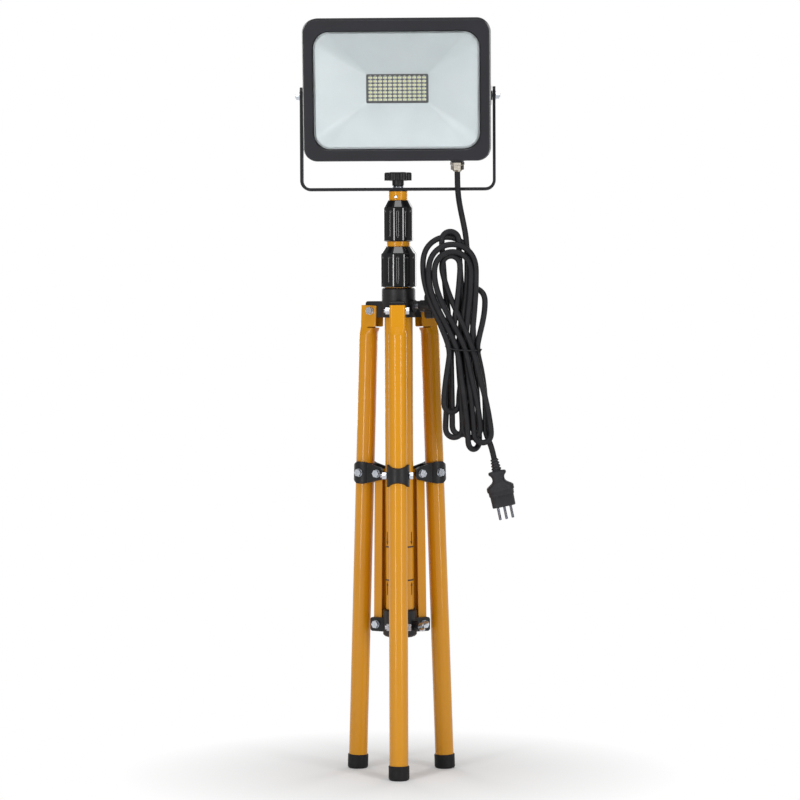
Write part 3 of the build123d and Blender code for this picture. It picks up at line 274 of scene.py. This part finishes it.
def satin_black(name, tint, rough_low=0.40, rough_high=0.52):
    """Fine-grained powder coat on a casting or a strap."""
    coat = Surface(name)
    cloud = coat.spread(coat.noise(20, 3), 0.35, 0.65, 0, 1)
    coat.colour(coat.mix(cloud, tint, tuple(c * 1.25 for c in tint)))
    coat.rough(coat.noise(260, 3), rough_low, rough_high)
    coat.bump(coat.noise(1500, 3), 0.16, 0.0003)
    return coat.set(Specular_IOR_Level=0.35).material


def moulded_black():
    """Glass-filled nylon: satin, with a faint flow pattern and a spark-eroded grain."""
    nylon = Surface("moulded_black")
    flow = nylon.spread(nylon.noise(35, 5, stretch=(1, 1, 0.3)), 0.35, 0.65, 0, 1)
    nylon.colour(nylon.mix(flow, (0.006, 0.006, 0.007), (0.011, 0.011, 0.013)))
    nylon.rough(nylon.noise(180, 3), 0.36, 0.50)
    nylon.bump(nylon.noise(2200, 2), 0.14, 0.0002)
    return nylon.set(Specular_IOR_Level=0.35).material


def gloss_black():
    """Polished black sleeve with faint handling hairlines."""
    gloss = Surface("gloss_black")
    hair = gloss.spread(gloss.noise(700, 2, stretch=(1, 1, 0.04)), 0.60, 0.72, 0, 1)
    gloss.colour(gloss.mix(hair, (0.006, 0.006, 0.007), (0.014, 0.014, 0.016)))
    gloss.rough(gloss.noise(120, 4), 0.05, 0.13)
    gloss.bump(gloss.noise(60, 2), 0.03, 0.0006)
    return gloss.set(Coat_Weight=0.5, Coat_Roughness=0.04, IOR=1.5).material


def black_rubber(name, dark, light, grain=2400):
    """Matte rubber with a little dust in its pores."""
    rubber = Surface(name)
    dust = rubber.spread(rubber.noise(45, 6), 0.42, 0.75, 0, 1)
    rubber.colour(rubber.mix(dust, dark, light))
    rubber.rough(rubber.noise(150, 4), 0.50, 0.66)
    rubber.bump(rubber.noise(grain, 2), 0.18, 0.0002)
    return rubber.set(Specular_IOR_Level=0.3).material


def bright_zinc():
    """Blue-white zinc plate with fine turning marks and a few dull spots."""
    zinc = Surface("bright_zinc")
    spots = zinc.spread(zinc.noise(320, 4), 0.45, 0.70, 0, 1)
    zinc.colour(zinc.mix(spots, (0.64, 0.67, 0.72), (0.46, 0.49, 0.54)))
    zinc.rough(zinc.noise(900, 3), 0.20, 0.38)
    zinc.bump(zinc.noise(3000, 2), 0.10, 0.0001)
    return zinc.set(Metallic=1.0).material


def nickel():
    """Warm nickel plate on the brass gland."""
    plate = Surface("nickel")
    tarnish = plate.spread(plate.noise(420, 4), 0.40, 0.72, 0, 1)
    plate.colour(plate.mix(tarnish, (0.66, 0.62, 0.54), (0.44, 0.39, 0.31)))
    plate.rough(plate.noise(700, 3), 0.14, 0.28)
    plate.bump(plate.noise(1800, 2), 0.06, 0.0001)
    return plate.set(Metallic=1.0).material


def reflector_grey():
    """Satin light grey lacquer, very slightly pearly."""
    lacquer = Surface("reflector_grey")
    cloud = lacquer.spread(lacquer.noise(30, 2), 0.35, 0.65, 0, 1)
    lacquer.colour(lacquer.mix(cloud, (0.36, 0.385, 0.40), (0.38, 0.405, 0.42)))
    lacquer.rough(lacquer.noise(300, 2), 0.30, 0.38)
    lacquer.bump(lacquer.noise(1800, 2), 0.04, 0.0002)
    return lacquer.material


def clear_glass():
    """Toughened glass: clear, with a trace of green and a few smears in its gloss."""
    glass = Surface("clear_glass")
    smear = glass.noise(18, 5, stretch=(1, 1, 2))
    glass.colour(glass.mix(glass.spread(smear, 0.3, 0.7, 0, 1), (0.97, 0.99, 0.985), (0.94, 0.97, 0.965)))
    glass.rough(smear, 0.0, 0.03)
    return glass.set(Transmission_Weight=1.0, IOR=1.45).material


def board_black():
    """Black solder mask with a faint weave of the laminate under it."""
    mask = Surface("board_black")
    weave = mask.spread(mask.noise(900, 1, stretch=(1, 1, 3)), 0.4, 0.6, 0, 1)
    mask.colour(mask.mix(weave, (0.006, 0.006, 0.008), (0.014, 0.014, 0.017)))
    mask.rough(mask.noise(500, 2), 0.28, 0.40)
    mask.bump(weave, 0.08, 0.0001)
    return mask.material


def speckled(name, dark, light, scale, rough_low, rough_high, bump=0.05, **values):
    """Plain moulded or potted part whose colour and gloss wander a little."""
    part = Surface(name)
    cloud = part.spread(part.noise(scale, 3), 0.35, 0.65, 0, 1)
    part.colour(part.mix(cloud, dark, light))
    part.rough(part.noise(scale * 2, 3), rough_low, rough_high)
    part.bump(part.noise(scale * 4, 2), bump, 0.0002)
    return part.set(**values).material


AMBER = amber_paint()
HOUSING = satin_black("housing_coat", (0.010, 0.010, 0.014))
STRAP = satin_black("strap_coat", (0.010, 0.010, 0.013), 0.34, 0.46)
NYLON = moulded_black()
GLOSS = gloss_black()
FOOT_RUBBER = black_rubber("foot_rubber", (0.005, 0.005, 0.006), (0.010, 0.010, 0.010))
SEAL_RUBBER = black_rubber("seal_rubber", (0.006, 0.006, 0.007), (0.010, 0.010, 0.011))
CORD_RUBBER = black_rubber("cord_rubber", (0.007, 0.007, 0.009), (0.012, 0.012, 0.014), 1600)
PLUG_RUBBER = black_rubber("plug_rubber", (0.020, 0.019, 0.022), (0.032, 0.030, 0.034), 1200)
ZINC = bright_zinc()
NICKEL = nickel()
REFLECTOR = reflector_grey()
GLASS = clear_glass()
BOARD = board_black()
LED_WHITE = speckled("led_white", (0.46, 0.47, 0.46), (0.54, 0.54, 0.53), 400, 0.30, 0.42)
LED_YELLOW = speckled("led_yellow", (0.42, 0.42, 0.10), (0.50, 0.50, 0.17), 900, 0.35, 0.50)
SOLDER = speckled("solder", (0.30, 0.31, 0.33), (0.44, 0.45, 0.47), 900, 0.30, 0.45, Metallic=1.0)
POTTING = speckled("potting", (0.42, 0.42, 0.40), (0.52, 0.52, 0.49), 60, 0.45, 0.60)
PRINT_BLACK = speckled("print_black", (0.010, 0.009, 0.009), (0.020, 0.018, 0.016), 300, 0.35, 0.50)
PIN_METAL = speckled("pin_metal", (0.10, 0.10, 0.12), (0.17, 0.17, 0.20), 500, 0.24, 0.36, Metallic=1.0)


def dress(material, *nodes):
    for node in nodes:
        piece = NODES[node]
        piece.data.materials.clear()
        piece.data.materials.append(material)


def per_side(*names):
    return [f"{name}_{side}" for name in names for side in SIDES]


dress(AMBER, "mast_tube", "middle_tube", "inner_tube", *per_side("leg_tube", "brace"))
dress(HOUSING, "front_bezel", "rear_housing", "rear_cover")
dress(STRAP, "bail")
dress(NYLON, "hub", "hub_knob", "top_knob", "spreader_collar", "lower_collet", "upper_collet",
      "middle_bush", "inner_bush", "mast_end_plug", "top_insert", *per_side("leg_clamp"))
dress(GLOSS, "lower_sleeve", "upper_sleeve")
dress(FOOT_RUBBER, *per_side("leg_foot"))
dress(SEAL_RUBBER, "glass_seal", "friction_discs")
dress(ZINC, "leg_hinge_bolts", "collar_bolts", "wing_screw", "hub_knob_screw", "top_knob_bolt",
      "insert_screw", "cup_washer", "cover_screws", "bail_bolts", *per_side("clamp_bolts"))
dress(NICKEL, "gland_body", "gland_nut")
dress(REFLECTOR, "reflector")
dress(GLASS, "front_glass")
dress(BOARD, "led_board")
dress(POTTING, "led_driver")
dress(PIN_METAL, "plug_pins")
NODES["front_glass"].visible_shadow = False

# ---------------------------------------------------------------- mesh helpers


def new_piece(name, mesh_maker, *materials):
    """Object from a bmesh that mesh_maker fills, in millimetres."""
    shape = bmesh.new()
    mesh_maker(shape)
    bmesh.ops.recalc_face_normals(shape, faces=shape.faces)
    bmesh.ops.scale(shape, vec=(MM, MM, MM), verts=shape.verts)
    data = bpy.data.meshes.new(name)
    shape.to_mesh(data)
    shape.free()
    for material in materials:
        data.materials.append(material)
    piece = bpy.data.objects.new(name, data)
    bpy.context.scene.collection.objects.link(piece)
    return piece


def smooth(piece):
    for polygon in piece.data.polygons:
        polygon.use_smooth = True


def rounded_rectangle(width, depth, corner, steps=6):
    """Points of a rounded rectangle about the origin, anticlockwise."""
    points = []
    for quarter, (sx, sy) in enumerate(((1, 1), (-1, 1), (-1, -1), (1, -1))):
        for step in range(steps + 1):
            angle = (quarter + step / steps) * pi / 2
            x = sx * (width / 2 - corner) + corner * cos(angle)
            y = sy * (depth / 2 - corner) + corner * sin(angle)
            points.append((x, y))
    return points


def loft(shape, frame_matrix, stations):
    """Closed skin through rounded rectangles: each station is (distance, width, depth, corner)."""
    rings = []
    for distance, width, depth, corner in stations:
        ring = []
        for x, y in rounded_rectangle(width, depth, corner):
            ring.append(shape.verts.new(frame_matrix @ Vector((x, y, distance))))
        rings.append(ring)
    for low, high in zip(rings, rings[1:]):
        for here in range(len(low)):
            after = (here + 1) % len(low)
            shape.faces.new((low[here], low[after], high[after], high[here]))
    shape.faces.new(rings[0][::-1])
    shape.faces.new(rings[-1])


def plane_matrix(origin, x_dir, z_dir):
    z_axis = Vector(z_dir).normalized()
    x_axis = Vector(x_dir).normalized()
    y_axis = z_axis.cross(x_axis)
    matrix = Matrix((x_axis, y_axis, z_axis)).transposed().to_4x4()
    matrix.translation = Vector(origin)
    return matrix


def box_faces(shape, matrix, low, high, material):
    corners = []
    for z in (low[2], high[2]):
        for x, y in ((low[0], low[1]), (high[0], low[1]), (high[0], high[1]), (low[0], high[1])):
            corners.append(shape.verts.new(matrix @ Vector((x, y, z))))
    for a, b, c, d in ((0, 3, 2, 1), (4, 5, 6, 7), (0, 1, 5, 4), (1, 2, 6, 5), (2, 3, 7, 6), (3, 0, 4, 7)):
        face = shape.faces.new((corners[a], corners[b], corners[c], corners[d]))
        face.material_index = material


# ---------------------------------------------------------------- plug, tie and cord

PLUG_TOP = (142.5, -50.0, 475.0)
PLUG_LEAN = radians(11.7)
PLUG_DOWN = (sin(PLUG_LEAN), 0, -cos(PLUG_LEAN))
PLUG_FRAME = plane_matrix(PLUG_TOP, (cos(PLUG_LEAN), 0, sin(PLUG_LEAN)), PLUG_DOWN)
RIB_PITCH = 4.4
RIB_COUNT = 4


def plug_stations():
    """The plug from its ribbed strain relief down to the face with the pins."""
    rows = []
    for rib in range(RIB_COUNT):
        start = rib * RIB_PITCH
        wide = 12.2 + rib * 0.9
        narrow = 9.4 + rib * 0.9
        for distance, width in ((0, narrow), (0.7, wide - 0.8), (1.2, wide), (2.4, wide), (2.9, wide - 0.8),
                                (3.4, narrow)):
            rows.append((start + distance, width, width, width / 2 - 0.01))
    rows += [
        (18.0, 15.0, 15.0, 7.2), (18.6, 23.5, 19.0, 7.5), (19.4, 26.0, 21.0, 8.0), (21.5, 26.8, 21.8, 8.2),
        (23.0, 25.6, 20.6, 8.0), (25.2, 21.2, 19.0, 7.5), (27.5, 19.0, 18.0, 7.0), (30.0, 18.4, 17.6, 6.8),
        (32.5, 19.2, 18.0, 7.0), (34.8, 22.5, 19.5, 7.5), (37.0, 28.0, 21.5, 8.0), (39.2, 35.0, 24.0, 9.0),
        (41.2, 39.6, 26.4, 9.8), (42.2, 40.7, 26.9, 10.0), (47.2, 40.5, 26.8, 10.0), (48.0, 39.6, 26.2, 9.8),
        (48.3, 38.0, 24.8, 9.4), (54.2, 37.4, 24.4, 9.4), (54.9, 36.6, 23.6, 9.2), (55.1, 35.4, 22.0, 9.0),
        (71.0, 34.6, 21.2, 8.4), (71.7, 34.0, 20.6, 8.2), (72.0, 33.0, 19.6, 8.0),
    ]
    return rows


plug = new_piece("mains_plug", lambda shape: loft(shape, PLUG_FRAME, plug_stations()), PLUG_RUBBER)
smooth(plug)

TIE_CENTRE = (97.5, -50.3)
TIE_HALF = (26.6, 14.4)
TIE_RADIUS = 0.0011
TIE_STEPS = 28
TIE_SQUARENESS = 0.6
TIE_FRONT_DROP = 1.5
TIE_LEAN = 2.5
TIE_SAG = 3.5


def tie_points():
    """One turn of thin cord pulled tight round the hank, lowest at the middle of its front."""
    points = []
    for step in range(TIE_STEPS):
        angle = 2 * pi * step / TIE_STEPS
        across, deep = cos(angle), sin(angle)
        x = TIE_CENTRE[0] + TIE_HALF[0] * abs(across) ** TIE_SQUARENESS * (1 if across > 0 else -1)
        y = TIE_CENTRE[1] + TIE_HALF[1] * abs(deep) ** TIE_SQUARENESS * (1 if deep > 0 else -1)
        points.append((x, y, TIE_Z - TIE_FRONT_DROP - TIE_LEAN * across + TIE_SAG * across ** 2))
    return points


tie = curve_piece("hank_tie", tie_points(), TIE_RADIUS, cyclic=True, smooth_steps=6)
knot = curve_piece(
    "hank_tie_ends",
    [(119, -64.5, 636.5), (121.5, -63.5, 638.5), (123.5, -61.5, 636.5), (121, -61, 634), (119, -63, 635.5),
     (121, -64, 632), (121.5, -63, 628)],
    TIE_RADIUS,
)
for part in (mains_cord, tie, knot):
    part.data.materials.append(CORD_RUBBER)
for part in (tie, knot, plug):
    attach(part, "bail")
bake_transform(mains_cord)
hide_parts("cord_lead", "cord_hank", "cord_tail")
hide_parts("cord_tie")
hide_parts("plug_body")

# ---------------------------------------------------------------- LED packages

HEAD_TILT = radians(8)
HEAD_FACING = (0, -cos(HEAD_TILT), -sin(HEAD_TILT))
PIVOT_Z = 1016.0
FACE_CENTRE = 11.9
BOARD_FACE = 12.3
LED_COLUMNS = 12
LED_ROWS = 7
LED_PITCH = (7.28, 5.45)
LED_BODY = (5.7, 3.0, 0.9)
PHOSPHOR = (3.4, 2.2)
PHOSPHOR_SHIFT = -0.6
PHOSPHOR_DEPTH = 0.1
PACKAGE_STEP = 0.06
PAD_HALF = 1.1
PAD_GAP = 0.7
PAD_WIDTH = 1.0
PAD_HEIGHT = 0.12
HEAD_FRAME = plane_matrix((0, 0, PIVOT_Z), (1, 0, 0), HEAD_FACING)


def led_packages(shape):
    """White packages with a yellow phosphor window, and their solder pads on the board."""
    for column in range(LED_COLUMNS):
        for row in range(LED_ROWS):
            x = (column - (LED_COLUMNS - 1) / 2) * LED_PITCH[0]
            y = FACE_CENTRE + (row - (LED_ROWS - 1) / 2) * LED_PITCH[1]
            top = BOARD_FACE + LED_BODY[2]
            box_faces(shape, HEAD_FRAME, (x - LED_BODY[0] / 2, y - LED_BODY[1] / 2, BOARD_FACE),
                      (x + LED_BODY[0] / 2, y + LED_BODY[1] / 2, top - PACKAGE_STEP), 0)
            centre = x + PHOSPHOR_SHIFT
            window = (centre - PHOSPHOR[0] / 2, y - PHOSPHOR[1] / 2, top - PHOSPHOR_DEPTH)
            box_faces(shape, HEAD_FRAME, window, (centre + PHOSPHOR[0] / 2, y + PHOSPHOR[1] / 2, top), 1)
            pad = y + LED_BODY[1] / 2 + PAD_GAP
            box_faces(shape, HEAD_FRAME, (x - PAD_HALF, pad, BOARD_FACE),
                      (x + PAD_HALF, pad + PAD_WIDTH, BOARD_FACE + PAD_HEIGHT), 2)


leds = new_piece("led_packages", led_packages, LED_WHITE, LED_YELLOW, SOLDER)
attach(leds, "head")
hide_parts("led_chips")

# ---------------------------------------------------------------- printed marks on the mast

MAST_R = 21.0
PRINT_SKIN = 0.08
RING_HEIGHTS = (291.0, 341.0)
RING_HALF = 1.1
RING_STEPS = 72
ARROW_AZIMUTHS = (-150, -30, 90)
ARROW_GAP = 2.4
ARROW_HEAD = 6
ARROW_LENGTH = 20
HEAD_HALF_ANGLES = (0.3, 8)
SHAFT_HALF_ANGLES = (3.2, 3.2)


def printed_patch(shape, azimuth, half_angle, low, high, steps):
    """Thin patch on the mast's surface; its half angle may narrow from low to high."""
    rows = []
    for share in (0, 1):
        row = []
        height = low + (high - low) * share
        for step in range(steps + 1):
            angle = radians(azimuth + half_angle[share] * (2 * step / steps - 1))
            outer = MAST_R + PRINT_SKIN
            row.append(shape.verts.new((outer * cos(angle), outer * sin(angle), height)))
        rows.append(row)
    for step in range(steps):
        shape.faces.new((rows[0][step], rows[0][step + 1], rows[1][step + 1], rows[1][step]))


def mast_marks(shape):
    """Two rings round the mast, with arrows that point at them from outside."""
    for height in RING_HEIGHTS:
        printed_patch(shape, 0, (180, 180), height - RING_HALF, height + RING_HALF, RING_STEPS)
    for azimuth in ARROW_AZIMUTHS:
        for ring, away in ((RING_HEIGHTS[0], -1), (RING_HEIGHTS[1], 1)):
            tip = ring + away * ARROW_GAP
            neck = tip + away * ARROW_HEAD
            printed_patch(shape, azimuth, HEAD_HALF_ANGLES, tip, neck, 6)
            printed_patch(shape, azimuth, SHAFT_HALF_ANGLES, neck, tip + away * ARROW_LENGTH, 4)


marks = new_piece("mast_marks", mast_marks, PRINT_BLACK)
smooth(marks)
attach(marks, "mast")

# ---------------------------------------------------------------- floor, lights and world

FLOOR_HALF = 14.0
FLOOR_FADE = (0.02, 0.42)
WORLD_FILL = 0.22
LIGHT_AIM = Vector((0, 0, 0.62))


def make_floor():
    """Pale floor that fades into the white behind it."""
    data = bpy.data.meshes.new("floor")
    corners = [(-FLOOR_HALF, -FLOOR_HALF, 0), (FLOOR_HALF, -FLOOR_HALF, 0), (FLOOR_HALF, FLOOR_HALF, 0),
               (-FLOOR_HALF, FLOOR_HALF, 0)]
    data.from_pydata(corners, [], [(0, 1, 2, 3)])
    floor = bpy.data.objects.new("floor", data)
    bpy.context.scene.collection.objects.link(floor)
    pale = Surface("floor_pale")
    pale.set(Base_Color=(0.86, 0.86, 0.86, 1), Roughness=0.8)
    length = pale.tree.nodes.new("ShaderNodeVectorMath")
    length.operation = "LENGTH"
    pale.link(pale.place, length.inputs[0])
    share = pale.spread(length.outputs["Value"], *FLOOR_FADE, 0, 1)
    glow = pale.tree.nodes.new("ShaderNodeEmission")
    glow.inputs["Color"].default_value = (1, 1, 1, 1)
    blend = pale.tree.nodes.new("ShaderNodeMixShader")
    pale.link(share, blend.inputs["Fac"])
    pale.link(pale.shader.outputs["BSDF"], blend.inputs[1])
    pale.link(glow.outputs["Emission"], blend.inputs[2])
    pale.link(blend.outputs["Shader"], pale.tree.nodes["Material Output"].inputs["Surface"])
    floor.data.materials.append(pale.material)


def soft_light(name, azimuth, distance, height, width, tall, power):
    """Rectangular softbox that faces the object."""
    data = bpy.data.lights.new(name, "AREA")
    data.shape = "RECTANGLE"
    data.size = width
    data.size_y = tall
    data.energy = power
    lamp = bpy.data.objects.new(name, data)
    bpy.context.scene.collection.objects.link(lamp)
    angle = radians(azimuth)
    lamp.location = (distance * sin(angle), -distance * cos(angle), height)
    lamp.rotation_mode = "QUATERNION"
    lamp.rotation_quaternion = (LIGHT_AIM - lamp.location).to_track_quat("-Z", "Y")
    lamp.visible_camera = False


def make_world():
    """White behind the object, and softer than white where it only lights it."""
    world = bpy.data.worlds.new("studio")
    world.use_nodes = True
    tree = world.node_tree
    background = tree.nodes["Background"]
    background.inputs["Color"].default_value = (1, 1, 1, 1)
    path = tree.nodes.new("ShaderNodeLightPath")
    level = tree.nodes.new("ShaderNodeMapRange")
    level.inputs["To Min"].default_value = WORLD_FILL
    level.inputs["To Max"].default_value = 1.0
    tree.links.new(path.outputs["Is Camera Ray"], level.inputs["Value"])
    tree.links.new(level.outputs["Result"], background.inputs["Strength"])
    bpy.context.scene.world = world
    bpy.context.scene.view_settings.view_transform = "Standard"


make_floor()
make_world()
# name, azimuth, distance, height, width, tallness, power
soft_light("strip_left", -31, 2.4, 0.95, 0.26, 1.9, 18)
soft_light("strip_right", 40, 2.4, 0.95, 0.30, 1.9, 18)
soft_light("overhead", 0, 0.7, 2.6, 1.6, 1.2, 20)
soft_light("back_left", 205, 2.4, 1.2, 0.8, 1.6, 12)
soft_light("back_right", 150, 2.4, 1.2, 0.8, 1.6, 12)
